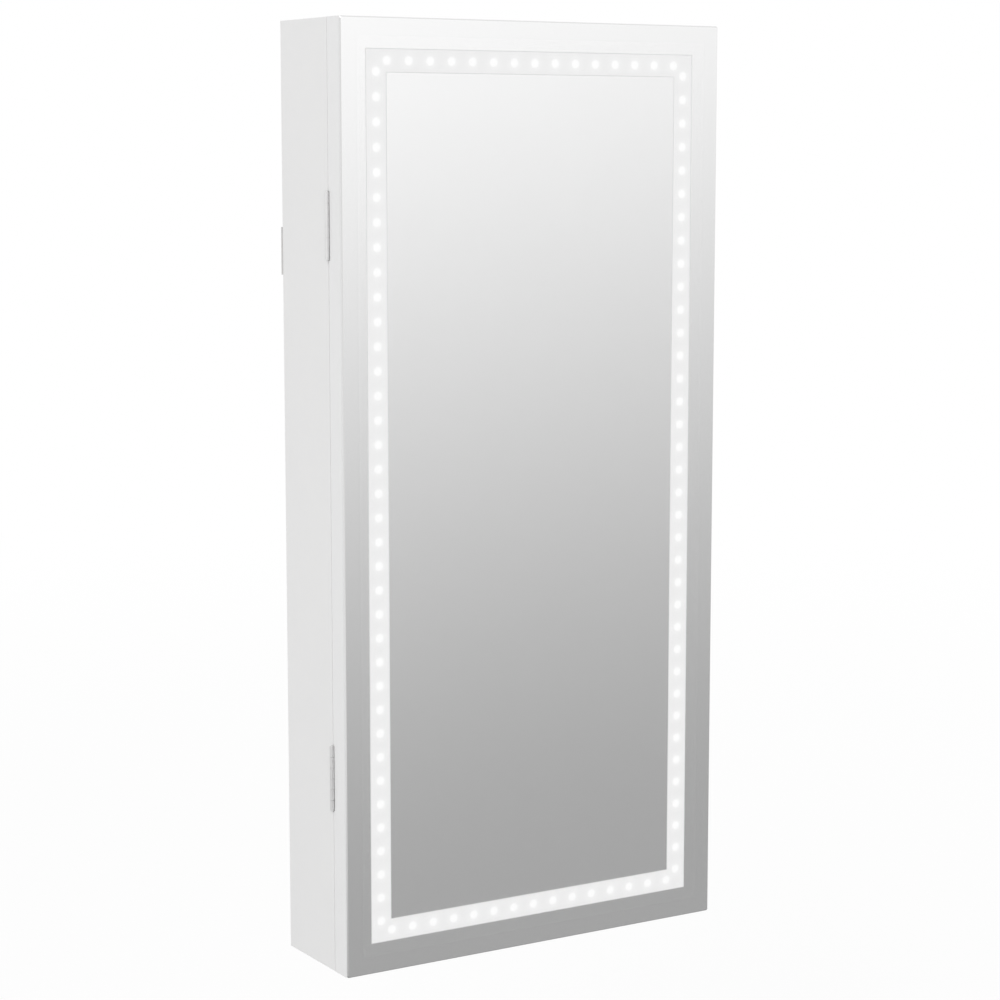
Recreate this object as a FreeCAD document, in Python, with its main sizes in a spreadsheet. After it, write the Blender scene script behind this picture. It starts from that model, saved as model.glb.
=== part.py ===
import FreeCAD, Part
import os
import re
import Sketcher
from FreeCAD import Placement, Rotation, Vector

# A slim wall cabinet for jewelry behind a full mirror door with a lit frosted band.
# Inside each sub-part, X runs right from the middle, Y runs from the front of the glass to the wall and
# Z runs up from the underside. The finished frame has its origin midway between the two keyholes of the
# hanger plates, on the wall.

# ---------------------------------------------------------------- driving sizes, in mm
SIZES = {
    # over the glass and the panels
    "cabinet_width": 307,
    "cabinet_depth": 87,
    "cabinet_height": 655,
    # boards of the carcass
    "side_thickness": 15,
    "cap_thickness": 15,
    "board_arris": 0.6,
    "back_thickness": 3,
    "back_inset": 7,
    "back_groove_depth": 5,
    "back_groove_slack": 0.2,
    "dowel_radius": 4,
    "dowel_slack": 0.05,
    "dowel_in_side": 10,
    "dowel_in_cap": 20,
    "dowel_inset": 14,
    # velvet covered lining boards
    "lining_thickness": 1.5,
    "lining_setback": 1,
    "lining_slack": 0.3,
    "door_lining_margin": 3,
    # mirror door
    "glass_thickness": 3,
    "glass_corner_radius": 1.5,
    "glass_arris": 0.8,
    "coat_thickness": 0.1,
    "coat_inset": 1.5,
    "core_thickness": 15,
    "door_gap": 0.9,
    "bumper_radius": 4,
    "bumper_thickness": 0.8,
    "bumper_inset": 20,
    # frosted band and the lights behind it
    "band_inset": 20.5,
    "band_width": 16,
    "channel_width": 12,
    "channel_depth": 7,
    "led_pitch": 16.667,
    "led_end_margin": 34,
    "led_side": 5,
    "led_height": 1.6,
    "tape_width": 8,
    "tape_thickness": 0.4,
    "tape_gap": 0.5,
    "lead_radius": 1.1,
    "lead_slack": 0.4,
    # butt hinges
    "hinge_inset": 138,
    "hinge_length": 45.6,
    "barrel_radius": 1.6,
    "barrel_offset": 0.8,
    "barrel_slack": 0.3,
    "knuckle_gap": 0.3,
    "leaf_thickness": 0.9,
    "leaf_gap": 0.1,
    "leaf_width": 12,
    "leaf_slack": 0.2,
    "leaf_screw_place": 7.5,
    "leaf_screw_pitch": 15,
    "pin_radius": 0.9,
    "pin_slack": 0.05,
    "pin_overhang": 0.6,
    # small countersunk screws of the hinges and strikes, and round head screws elsewhere
    "leaf_screw_radius": 1,
    "leaf_screw_head_radius": 2.1,
    "leaf_screw_head": 0.45,
    "leaf_screw_length": 9,
    "screw_radius": 1.5,
    "screw_head_radius": 3,
    "screw_head": 1.6,
    "screw_length": 12,
    "screw_slack": 0.05,
    # wall hangers
    "hanger_thickness": 2,
    "hanger_height": 33,
    "hanger_below_top": 157,
    "hanger_screw_pitch": 25,
    "keyhole_radius": 4,
    "keyhole_slot_radius": 2,
    "keyhole_drop": 3,
    "keyhole_rise": 7,
    "hanger_pocket_width": 10,
    "hanger_pocket_margin": 1,
    "hanger_pocket_depth": 6,
    # magnetic catch
    "magnet_radius": 4.9,
    "magnet_length": 4.9,
    "magnet_slack": 0.1,
    "magnet_inset": 60,
    "strike_radius": 6,
    "strike_thickness": 0.8,
    # necklace rail and pegs
    "rail_below_top": 55,
    "rail_height": 18,
    "rail_thickness": 10,
    "rail_end_gap": 14,
    "rail_screw_length": 12,
    "peg_pitch": 28,
    "peg_end_margin": 8,
    "peg_radius": 2,
    "peg_in_rail": 6,
    "peg_reach": 14,
    "peg_head_radius": 4.5,
    "peg_head_length": 5,
    "peg_slack": 0.05,
    # ring rolls on their shelf
    "ring_shelf_level": 245,
    "ring_shelf_depth": 24,
    "roll_count": 5,
    "roll_radius": 8,
    "roll_end_radius": 3,
    "roll_slack": 0.3,
    # bracelet bar
    "bracelet_level": 205,
    "bracelet_from_back": 24,
    "bracelet_radius": 6,
    "bracelet_slack": 0.15,
    "socket_radius": 11,
    "socket_length": 8,
    "socket_floor": 2,
    # shelves, lips, dividers and pins
    "shelf_thickness": 5,
    "shelf_depth": 33,
    "shelf_slack": 0.3,
    "upper_shelf_level": 150,
    "lower_shelf_level": 82,
    "lip_thickness": 3,
    "lip_height": 25,
    "divider_thickness": 4,
    "divider_place": 46,
    "shelf_pin_radius": 2.5,
    "shelf_pin_slack": 0.05,
    "shelf_pin_in_side": 8,
    "shelf_pin_reach": 7,
    "shelf_pin_inset": 6,
    # earring strips on the door
    "strip_end_gap": 22,
    "strip_height": 24,
    "strip_thickness": 2,
    "strip_count": 4,
    "strip_below_case": 35.4,
    "strip_pitch": 95,
    "strip_hole_radius": 1,
    "strip_hole_pitch": 14,
    "strip_hole_rise": 5,
    "strip_hole_margin": 14,
    "strip_screw_inset": 8,
    "spacer_radius": 4,
    "spacer_length": 8,
    # battery case for four cells
    "cell_radius": 7.1,
    "cell_length": 50.5,
    "cell_gap": 0.8,
    "cell_count": 4,
    "cell_nub_radius": 2.7,
    "cell_nub": 1,
    "contact_thickness": 0.5,
    "contact_slack": 0.2,
    "contact_width": 11,
    "case_wall": 1.6,
    "case_slack": 0.5,
    "cover_above_cells": 0.5,
    "lead_bay_width": 6,
    "cover_thickness": 1.5,
    "cover_below_front": 1.2,
    "cover_slack": 0.2,
    "cover_groove": 1,
    "cover_rib_count": 4,
    "cover_rib_pitch": 2.5,
    "cover_rib_width": 1,
    "cover_rib_height": 0.8,
    "cover_rib_span": 16,
    # switch of the lights
    "switch_gap": 9,
    "switch_length": 18,
    "switch_height": 10,
    "switch_depth": 8,
    "slider_length": 5,
    "slider_height": 4,
    "slider_sunk": 3,
    "slider_proud": 2,
    "slider_travel": 4,
    "slider_slack": 0.15,
}

# ---------------------------------------------------------------- places that follow from the sizes
PLACES = {
    "half_width": "cabinet_width / 2",
    "inner_half": "half_width - side_thickness",
    "lined_half": "inner_half - lining_thickness",
    "ceiling": "cabinet_height - cap_thickness",
    "lined_floor": "cap_thickness + lining_thickness",
    "lined_ceiling": "ceiling - lining_thickness",
    "coat_back": "glass_thickness + coat_thickness",
    "door_back": "coat_back + core_thickness",
    "lined_door": "door_back + lining_thickness",
    "carcass_front": "door_back + door_gap",
    "lining_front": "carcass_front + lining_setback",
    "back_rear": "cabinet_depth - back_inset",
    "back_front": "back_rear - back_thickness",
    "lined_back": "back_front - lining_thickness",
    "wall": "cabinet_depth + hanger_thickness",
    "hanger_level": "cabinet_height - hanger_below_top",
    "hang_height": "hanger_level - keyhole_drop",
    "hanger_place": "half_width - side_thickness / 2",
    "hinge_axis_x": "-half_width - barrel_offset",
    "hinge_axis_y": "door_back + door_gap / 2",
    "knuckle_pitch": "hinge_length / 6",
    "leaf_edge": "leaf_width - half_width",
    "leaf_screw_x": "leaf_screw_place - half_width",
    "band_inner": "band_inset + band_width",
    "light_inset": "band_inset + band_width / 2",
    "light_half": "half_width - light_inset",
    "light_top": "cabinet_height - light_inset",
    "channel_floor": "coat_back + channel_depth",
    "tape_front": "channel_floor - tape_thickness",
    "leds_up": "floor((cabinet_height - 2 * led_end_margin) / led_pitch) + 1",
    "leds_across": "floor((cabinet_width - 2 * led_end_margin) / led_pitch) + 1",
    "rail_level": "cabinet_height - rail_below_top",
    "rail_front": "lined_back - rail_thickness",
    "rail_half": "lined_half - rail_end_gap",
    "pegs": "floor(2 * (rail_half - peg_end_margin) / peg_pitch) + 1",
    "rail_screw_x": "(pegs / 2 - 1) * peg_pitch",
    "ring_shelf_front": "lined_back - ring_shelf_depth",
    "shelf_front": "lined_back - shelf_depth",
    "shelf_half": "lined_half - shelf_slack",
    "bracelet_y": "lined_back - bracelet_from_back",
    "strip_back": "lined_door + spacer_length",
    "strip_half": "lined_half - strip_end_gap",
    "strip_screw_x": "strip_half - strip_screw_inset",
    "strip_holes": "floor(2 * (strip_screw_x - strip_hole_margin) / strip_hole_pitch) + 1",
    "bay_half": "cell_length / 2 + contact_slack + contact_thickness",
    "case_left": "-bay_half - case_wall",
    "lead_bay_left": "bay_half + case_wall",
    "lead_bay_right": "lead_bay_left + lead_bay_width",
    "case_right": "lead_bay_right + case_wall",
    "lead_x": "lead_bay_left + lead_bay_width / 2",
    "cell_pitch": "2 * cell_radius + cell_gap",
    "bay_top": "light_top + lead_bay_width / 2",
    "bay_low": "bay_top - cell_count * cell_pitch - case_slack",
    "bay_middle": "(bay_top + bay_low) / 2",
    "strip_top_level": "bay_low - case_wall - strip_below_case - strip_height / 2",
    "cell_y": "lined_door + case_wall + case_slack + cell_radius",
    "cover_back": "cell_y + cell_radius + cover_above_cells",
    "case_front": "cover_back + cover_thickness + cover_below_front",
    "switch_left": "case_right + switch_gap",
    "switch_right": "switch_left + switch_length",
    "switch_front": "lined_door + switch_depth",
    "slider_left": "(switch_left + switch_right - slider_length - slider_travel) / 2",
    "slider_right": "slider_left + slider_length",
}

doc = FreeCAD.newDocument("jewelry_mirror_cabinet")


def bound(formula, own_sheet=False):
    """The formula with each size and place named by the sheet that holds it."""

    def cell(word):
        name = word.group(0)
        if name in SIZES:
            return "Sizes." + name
        if name in PLACES and not own_sheet:
            return "Places." + name
        return name

    return re.sub(r"[a-z_]+", cell, str(formula))


def fill_sheet(name, rows):
    """A sheet with each row's name, its value and the value's alias."""
    sheet = doc.addObject("Spreadsheet::Sheet", name)
    for row, (alias, content) in enumerate(rows, start=1):
        sheet.set(f"A{row}", alias)
        sheet.set(f"B{row}", content)
        sheet.setAlias(f"B{row}", alias)
    doc.recompute()
    return sheet


sizes = fill_sheet("Sizes", [(name, str(number)) for name, number in SIZES.items()])
places = fill_sheet("Places", [(name, "=" + bound(text, True)) for name, text in PLACES.items()])


def value(formula):
    """What a formula gives with the present sizes."""
    return float(sizes.evalExpression(bound(formula)))


def count_of(formula):
    """A formula that gives a number of like pieces, as a range to go through."""
    return range(round(value(formula)))


# ---------------------------------------------------------------- how a sub-part is drawn
# The origin plane of a sketch, and whether its normal points along the axis or against it.
PLANES = {"XY": ("XY_Plane", 1), "XZ": ("XZ_Plane", -1), "YZ": ("YZ_Plane", 1)}
TOWARDS_WALL = Rotation(Vector(1, 0, 0), -90)
TOWARDS_FRONT = Rotation(Vector(1, 0, 0), 90)
TOWARDS_RIGHT = Rotation(Vector(0, 1, 0), 90)
TOWARDS_LEFT = Rotation(Vector(0, 1, 0), -90)
UPRIGHT = Rotation()

sub_parts = []


def keep(part):
    """Moves a finished sub-part into the finished frame and lists it."""
    part.setExpression("Placement.Base.y", bound("-wall"))
    part.setExpression("Placement.Base.z", bound("-hang_height"))
    sub_parts.append(part)
    return part


def new_body(label):
    body = doc.addObject("PartDesign::Body", label)
    body.Label = label
    return body


def origin_feature(body, role):
    return next(item for item in body.Origin.OriginFeatures if item.Role == role)


def new_sketch(body, plane, level):
    role, sign = PLANES[plane]
    sketch = body.newObject("Sketcher::SketchObject", body.Label + "_sketch")
    sketch.AttachmentSupport = [(origin_feature(body, role), "")]
    sketch.MapMode = "FlatFace"
    sketch.setExpression("AttachmentOffset.Base.z", bound(f"{sign} * ({level})"))
    return sketch


def rectangle(left, right, low, high):
    """A closed outline by its corners."""
    return [(left, low), (right, low), (right, high), (left, high)]


def frame_at(inset):
    """The rectangle that lies the inset within the door's edges."""
    return rectangle(
        f"{inset} - half_width", f"half_width - {inset}", inset, f"cabinet_height - {inset}"
    )


def span(side, near, far):
    """The low and high X between two distances from the middle, on one side of it."""
    return (near, far) if side > 0 else (f"-({far})", f"-({near})")


def pin_point(sketch, edge, end, across, up):
    for kind, formula in (("DistanceX", across), ("DistanceY", up)):
        rule = Sketcher.Constraint(kind, -1, 1, edge, end, value(formula))
        number = sketch.addConstraint(rule)
        sketch.setExpression(f"Constraints[{number}]", bound(formula))


def draw(sketch, outline):
    """Draws a circle, given as its centre and radius, or a polygon, given as its corners."""
    if isinstance(outline, tuple):
        across, up, radius = outline
        middle = Vector(value(across), value(up), 0)
        edge = sketch.addGeometry(Part.Circle(middle, Vector(0, 0, 1), value(radius)))
        pin_point(sketch, edge, 3, across, up)
        number = sketch.addConstraint(Sketcher.Constraint("Radius", edge, value(radius)))
        sketch.setExpression(f"Constraints[{number}]", bound(radius))
        return
    corners = [Vector(value(across), value(up), 0) for across, up in outline]
    first, count = sketch.GeometryCount, len(corners)
    for step in range(count):
        sketch.addGeometry(Part.LineSegment(corners[step], corners[(step + 1) % count]))
    for step in range(count):
        after = first + (step + 1) % count
        sketch.addConstraint(Sketcher.Constraint("Coincident", first + step, 2, after, 1))
    for step, (across, up) in enumerate(outline):
        pin_point(sketch, first + step, 1, across, up)


def extrude(body, kind, plane, low, high, outlines):
    """A Pad or a Pocket of the outlines, from the low to the high level along the plane's axis."""
    sketch = new_sketch(body, plane, low)
    for outline in outlines:
        draw(sketch, outline)
    feature = body.newObject("PartDesign::" + kind, f"{body.Label}_{kind.lower()}")
    feature.Profile = sketch
    feature.setExpression("Length", bound(f"({high}) - ({low})"))
    feature.Reversed = (PLANES[plane][1] < 0) == (kind == "Pad")
    return feature


def pad(body, plane, low, high, *outlines):
    return extrude(body, "Pad", plane, low, high, outlines)


def cut(body, plane, low, high, *outlines):
    return extrude(body, "Pocket", plane, low, high, outlines)


def board(label, across, deep, up):
    """A square-edged board between two values of X, of Y and of Z."""
    body = new_body(label)
    pad(body, "XY", up[0], up[1], rectangle(*across, *deep))
    return body


def dress(body, kind, size_name, size, chosen):
    """A Fillet or Chamfer on the edges of the body's present shape that are chosen by their box."""
    doc.recompute()
    base = body.Tip
    names = [
        f"Edge{number}"
        for number, edge in enumerate(base.Shape.Edges, start=1)
        if chosen(edge.BoundBox)
    ]
    feature = body.newObject("PartDesign::" + kind, f"{body.Label}_{kind.lower()}")
    feature.Base = (base, names)
    feature.setExpression(size_name, bound(size))
    return feature


def near(one, other):
    return abs(one - other) < 0.001


def turned(label, outline):
    """A solid turned about Z from its half outline of radius and height."""
    body = new_body(label)
    sketch = new_sketch(body, "XZ", "0")
    draw(sketch, outline)
    feature = body.newObject("PartDesign::Revolution", label + "_turning")
    feature.Profile = sketch
    feature.ReferenceAxis = (sketch, ["V_Axis"])
    feature.Angle = 360
    return body


def group(label, form, spots):
    """Copies of one form, each at its spot of X, Y and Z and turned its own way."""
    copies = []
    for across, deep, up, turn in spots:
        copy = doc.addObject("App::Link", label + "_copy")
        copy.LinkedObject = form
        copy.LinkTransform = False
        copy.Placement = Placement(Vector(), turn)
        for axis, formula in (("x", across), ("y", deep), ("z", up)):
            copy.setExpression("Placement.Base." + axis, bound(formula))
        copies.append(copy)
    compound = doc.addObject("Part::Compound", label)
    compound.Label = label
    compound.Links = copies
    return keep(compound)


def screw_form(label, radius, head_radius, head, length):
    """A screw along Z with its head's underside at zero."""
    outline = [
        ("0", f"-({length})"),
        (radius, f"2 * {radius} - ({length})"),
        (radius, "0"),
        (head_radius, "0"),
        (head_radius, f"{head} / 2"),
        (f"{head_radius} - {head} / 2", head),
        ("0", head),
    ]
    return turned(label, outline)


# ---------------------------------------------------------------- positions that several sub-parts share
HINGES = {"upper": "cabinet_height - hinge_inset", "lower": "hinge_inset"}
SHELVES = {
    "ring_shelf": ("ring_shelf_level", "ring_shelf_front"),
    "upper_shelf": ("upper_shelf_level", "shelf_front"),
    "lower_shelf": ("lower_shelf_level", "shelf_front"),
}
DOWEL_DEPTHS = ("carcass_front + dowel_inset", "back_front - dowel_inset")
DOWEL_LEVELS = ("cap_thickness / 2", "cabinet_height - cap_thickness / 2")
MAGNET_LEVELS = ("magnet_inset", "cabinet_height - magnet_inset")
STRIP_LEVELS = [f"strip_top_level - {step} * strip_pitch" for step in count_of("strip_count")]


def hinge_low(centre):
    return f"({centre}) - hinge_length / 2"


def hinge_high(centre):
    return f"({centre}) + hinge_length / 2"


def hinge_screw_levels(centre):
    return [f"({centre}) + {step} * leaf_screw_pitch" for step in (-1, 0, 1)]


def pin_places():
    """The depth and the height of each shelf pin on one side."""
    found = []
    for level, front in SHELVES.values():
        height = f"{level} - shelf_pin_radius - shelf_pin_slack"
        found.append((f"{front} + shelf_pin_inset", height))
        found.append(("lined_back - shelf_pin_inset", height))
    return found


def rail_screw_holes():
    return [(f"{side} * rail_screw_x", "rail_level", "screw_radius + screw_slack") for side in (-1, 1)]


# ---------------------------------------------------------------- carcass boards
def hinge_seats(body, seat_levels, screw_levels):
    """Cuts the seats of both hinges' leaves, their screw holes and the room round the barrels.

    Each pair of levels is the low and the high Y of its cut."""
    for centre in HINGES.values():
        low = f"{hinge_low(centre)} - leaf_slack"
        high = f"{hinge_high(centre)} + leaf_slack"
        seat = rectangle("-half_width - barrel_radius", "leaf_edge + leaf_slack", low, high)
        cut(body, "XZ", *seat_levels, seat)
        barrel = ("hinge_axis_x", "hinge_axis_y", "barrel_radius + barrel_slack")
        cut(body, "XY", low, high, barrel)
        holes = [
            ("leaf_screw_x", level, "leaf_screw_radius + screw_slack")
            for level in hinge_screw_levels(centre)
        ]
        cut(body, "XZ", *screw_levels, *holes)


def side_panel(label, side):
    """One side of the carcass, drilled for dowels and shelf pins and grooved for the back."""
    across = span(side, "inner_half", "half_width")
    body = board(label, across, ("carcass_front", "cabinet_depth"), ("0", "cabinet_height"))
    outer = side * value("half_width")
    on_outer_face = lambda box: near(box.XMin, outer) and near(box.XMax, outer)
    dress(body, "Fillet", "Radius", "board_arris", on_outer_face)
    groove = rectangle(
        *span(side, "inner_half", "inner_half + back_groove_depth"),
        "back_front - back_groove_slack",
        "back_rear + back_groove_slack",
    )
    cut(body, "XY", "cap_thickness - back_groove_depth", "ceiling + back_groove_depth", groove)
    bore = "dowel_radius + dowel_slack"
    dowels = [(deep, up, bore) for deep in DOWEL_DEPTHS for up in DOWEL_LEVELS]
    cut(body, "YZ", *span(side, "inner_half", "inner_half + dowel_in_side"), *dowels)
    pins = [(deep, up, "shelf_pin_radius + shelf_pin_slack") for deep, up in pin_places()]
    cut(body, "YZ", *span(side, "inner_half", "inner_half + shelf_pin_in_side"), *pins)
    middle = f"{side} * hanger_place"
    pocket = rectangle(
        f"{middle} - hanger_pocket_width / 2",
        f"{middle} + hanger_pocket_width / 2",
        "hang_height - keyhole_radius - hanger_pocket_margin",
        "hang_height + keyhole_rise + keyhole_radius + hanger_pocket_margin",
    )
    cut(body, "XZ", "cabinet_depth - hanger_pocket_depth", "cabinet_depth", pocket)
    pilots = [
        (middle, f"hanger_level + {step} * hanger_screw_pitch / 2", "screw_radius + screw_slack")
        for step in (-1, 1)
    ]
    cut(body, "XZ", "wall - screw_length", "cabinet_depth", *pilots)
    return body


def side_panels():
    left = side_panel("side_panel_left", -1)
    leaf_bottom = "hinge_axis_y + leaf_gap / 2 + leaf_thickness"
    screw_end = f"{leaf_bottom} + leaf_screw_length"
    hinge_seats(left, ("carcass_front", leaf_bottom), (leaf_bottom, screw_end))
    keep(left)
    right = side_panel("side_panel_right", 1)
    bores = [("hanger_place", level, "magnet_radius + magnet_slack") for level in MAGNET_LEVELS]
    cut(right, "XZ", "carcass_front", "carcass_front + magnet_length", *bores)
    keep(right)


def cap_panel(label, low, inner_face, inward):
    """The top or bottom panel between the sides. inward is 1 where its grooved face looks up."""
    depth = ("carcass_front", "cabinet_depth")
    body = board(label, ("-inner_half", "inner_half"), depth, (low, f"{low} + cap_thickness"))
    groove_end = f"{inner_face} - {inward} * back_groove_depth"
    levels = (groove_end, inner_face) if inward > 0 else (inner_face, groove_end)
    groove = rectangle(
        "-inner_half", "inner_half", "back_front - back_groove_slack", "back_rear + back_groove_slack"
    )
    cut(body, "XY", *levels, groove)
    middle, bore = f"{low} + cap_thickness / 2", "dowel_radius + dowel_slack"
    dowels = [(deep, middle, bore) for deep in DOWEL_DEPTHS]
    for side in (-1, 1):
        cut(body, "YZ", *span(side, "inner_half - dowel_in_cap", "inner_half"), *dowels)
    keep(body)


def back_panel():
    """The thin back, let into grooves on all four edges."""
    reach = "back_groove_depth - back_groove_slack"
    body = board(
        "back_panel",
        (f"-(inner_half + {reach})", f"inner_half + {reach}"),
        ("back_front", "back_rear"),
        (f"cap_thickness - ({reach})", f"ceiling + {reach}"),
    )
    cut(body, "XZ", "back_front", "back_rear", *rail_screw_holes())
    keep(body)


def corner_dowels():
    form = doc.addObject("Part::Cylinder", "dowel_form")
    form.setExpression("Radius", bound("dowel_radius"))
    form.setExpression("Height", bound("dowel_in_side + dowel_in_cap - 4 * dowel_slack"))
    spots = [
        (f"{start} + 2 * dowel_slack", deep, up, TOWARDS_RIGHT)
        for start in ("-inner_half - dowel_in_side", "inner_half - dowel_in_cap")
        for deep in DOWEL_DEPTHS
        for up in DOWEL_LEVELS
    ]
    group("corner_dowels", form, spots)


# ---------------------------------------------------------------- lining boards
def linings():
    back = board(
        "back_lining",
        ("lining_slack - inner_half", "inner_half - lining_slack"),
        ("lined_back", "back_front"),
        ("cap_thickness + lining_slack", "ceiling - lining_slack"),
    )
    cut(back, "XZ", "lined_back", "back_front", *rail_screw_holes())
    keep(back)
    depth = ("lining_front", "lined_back - lining_slack")
    for label, side in (("side_lining_left", -1), ("side_lining_right", 1)):
        lining = board(
            label,
            span(side, "lined_half", "inner_half"),
            depth,
            ("cap_thickness + lining_slack", "ceiling - lining_slack"),
        )
        holes = [(deep, up, "shelf_pin_radius + shelf_pin_slack") for deep, up in pin_places()]
        cut(lining, "YZ", *span(side, "lined_half", "inner_half"), *holes)
        keep(lining)
    across = ("lining_slack - lined_half", "lined_half - lining_slack")
    keep(board("top_lining", across, depth, ("lined_ceiling", "ceiling")))
    keep(board("bottom_lining", across, depth, ("cap_thickness", "lined_floor")))


# ---------------------------------------------------------------- wall hangers
def hanger_plates():
    """Two steel plates on the rear edges of the sides, each with a keyhole for a wall screw."""
    body = new_body("hanger_plates")
    low, high = "hanger_level - hanger_height / 2", "hanger_level + hanger_height / 2"
    for side in (-1, 1):
        outline = rectangle(*span(side, "inner_half", "half_width"), low, high)
        pad(body, "XZ", "cabinet_depth", "wall", outline)
    for side in (-1, 1):
        middle = f"{side} * hanger_place"
        cut(body, "XZ", "cabinet_depth", "wall", (middle, "hang_height", "keyhole_radius"))
        slot = rectangle(
            f"{middle} - keyhole_slot_radius",
            f"{middle} + keyhole_slot_radius",
            "hang_height",
            "hang_height + keyhole_rise",
        )
        cut(body, "XZ", "cabinet_depth", "wall", slot)
        slot_end = (middle, "hang_height + keyhole_rise", "keyhole_slot_radius")
        cut(body, "XZ", "cabinet_depth", "wall", slot_end)
        for step in (-1, 1):
            level = f"hanger_level + {step} * hanger_screw_pitch / 2"
            cut(body, "XZ", "cabinet_depth", "wall", (middle, level, "screw_radius + screw_slack"))
            head = (middle, level, "screw_head_radius + screw_slack")
            cut(body, "XZ", "wall - screw_head", "wall", head)
    keep(body)


def hanger_screws():
    form = screw_form(
        "hanger_screw_form",
        "screw_radius",
        "screw_head_radius",
        "screw_head - screw_slack",
        "screw_length - screw_head",
    )
    spots = [
        (
            f"{side} * hanger_place",
            "wall - screw_head",
            f"hanger_level + {step} * hanger_screw_pitch / 2",
            TOWARDS_WALL,
        )
        for side in (-1, 1)
        for step in (-1, 1)
    ]
    group("hanger_screws", form, spots)


# ---------------------------------------------------------------- hinges
def hinge_leaf(label, centre, own, plate, head_bore):
    """One leaf with its three knuckles. own is the number of its first knuckle, 0 or 1."""
    body = new_body(label)
    low, high = hinge_low(centre), hinge_high(centre)
    pad(body, "XZ", *plate, rectangle("hinge_axis_x", "leaf_edge", low, high))
    for number in range(6):
        start = f"{low} + {number} * knuckle_pitch"
        end = f"{start} + knuckle_pitch"
        if number % 2 == own:
            knuckle = ("hinge_axis_x", "hinge_axis_y", "barrel_radius")
            pad(body, "XY", f"{start} + knuckle_gap / 2", f"{end} - knuckle_gap / 2", knuckle)
        else:
            room = rectangle(
                "hinge_axis_x - barrel_radius", "hinge_axis_x + barrel_radius + barrel_slack", start, end
            )
            cut(body, "XZ", *plate, room)
    bore = ("hinge_axis_x", "hinge_axis_y", "pin_radius + pin_slack")
    cut(body, "XY", low, high, bore)
    levels = hinge_screw_levels(centre)
    holes = [("leaf_screw_x", level, "leaf_screw_radius + screw_slack") for level in levels]
    cut(body, "XZ", *plate, *holes)
    heads = [("leaf_screw_x", level, "leaf_screw_head_radius + screw_slack") for level in levels]
    cut(body, "XZ", *head_bore, *heads)
    keep(body)


def hinges():
    """Both hinges: leaves on the carcass and on the door, pins and screws."""
    cabinet_face = "hinge_axis_y + leaf_gap / 2"
    door_face = "hinge_axis_y - leaf_gap / 2"
    sunk = "leaf_screw_head + screw_slack"
    for name, centre in HINGES.items():
        hinge_leaf(
            f"cabinet_hinge_leaf_{name}",
            centre,
            0,
            (cabinet_face, f"{cabinet_face} + leaf_thickness"),
            (cabinet_face, f"{cabinet_face} + {sunk}"),
        )
        hinge_leaf(
            f"door_hinge_leaf_{name}",
            centre,
            1,
            (f"{door_face} - leaf_thickness", door_face),
            (f"{door_face} - ({sunk})", door_face),
        )
        pin = new_body(f"hinge_pin_{name}")
        ends = (f"{hinge_low(centre)} - pin_overhang", f"{hinge_high(centre)} + pin_overhang")
        pad(pin, "XY", *ends, ("hinge_axis_x", "hinge_axis_y", "pin_radius"))
        keep(pin)
    form = screw_form(
        "hinge_screw_form",
        "leaf_screw_radius",
        "leaf_screw_head_radius",
        "leaf_screw_head",
        "leaf_screw_length",
    )
    levels = [level for centre in HINGES.values() for level in hinge_screw_levels(centre)]
    for label, depth, turn in (
        ("cabinet_hinge_screws", f"{cabinet_face} + {sunk}", TOWARDS_FRONT),
        ("door_hinge_screws", f"{door_face} - ({sunk})", TOWARDS_WALL),
    ):
        group(label, form, [("leaf_screw_x", depth, level, turn) for level in levels])


# ---------------------------------------------------------------- mirror door
def door_core():
    """The door's board with the light channel, the leaf seats and the strike seats."""
    body = board(
        "door_core", ("-half_width", "half_width"), ("coat_back", "door_back"), ("0", "cabinet_height")
    )
    outer = frame_at("(light_inset - channel_width / 2)")
    inner = frame_at("(light_inset + channel_width / 2)")
    cut(body, "XZ", "coat_back", "channel_floor", outer, inner)
    cut(body, "XZ", "channel_floor", "door_back", ("lead_x", "light_top", "lead_radius + lead_slack"))
    leaf_bottom = "hinge_axis_y - leaf_gap / 2 - leaf_thickness"
    screw_end = f"{leaf_bottom} - leaf_screw_length"
    hinge_seats(body, (leaf_bottom, "door_back"), (screw_end, leaf_bottom))
    seats = [("hanger_place", level, "strike_radius + leaf_slack") for level in MAGNET_LEVELS]
    cut(body, "XZ", "door_back - strike_thickness", "door_back", *seats)
    pilots = [("hanger_place", level, "leaf_screw_radius + screw_slack") for level in MAGNET_LEVELS]
    cut(body, "XZ", "door_back - leaf_screw_length", "door_back", *pilots)
    earring = [(across, level, "screw_radius + screw_slack") for across, level in strip_screw_places()]
    cut(body, "XZ", "strip_back - spacer_length - screw_length", "door_back", *earring)
    keep(body)


def mirror_glass():
    """The clear pane over the whole door, with rounded corners and a ground front edge."""
    body = board(
        "mirror_glass", ("-half_width", "half_width"), ("0", "glass_thickness"), ("0", "cabinet_height")
    )
    depth = value("glass_thickness")
    dress(body, "Fillet", "Radius", "glass_corner_radius", lambda box: near(box.YLength, depth))
    dress(body, "Chamfer", "Size", "glass_arris", lambda box: near(box.YMin, 0) and near(box.YMax, 0))
    keep(body)


def mirror_coats():
    """Behind the glass: the silver outside and inside the band, and the frosted band between."""
    silver = new_body("silver_coat")
    pad(silver, "XZ", "glass_thickness", "coat_back", frame_at("coat_inset"), frame_at("band_inset"))
    pad(silver, "XZ", "glass_thickness", "coat_back", frame_at("band_inner"))
    keep(silver)
    band = new_body("frosted_band")
    pad(band, "XZ", "glass_thickness", "coat_back", frame_at("band_inset"), frame_at("band_inner"))
    keep(band)


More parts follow.
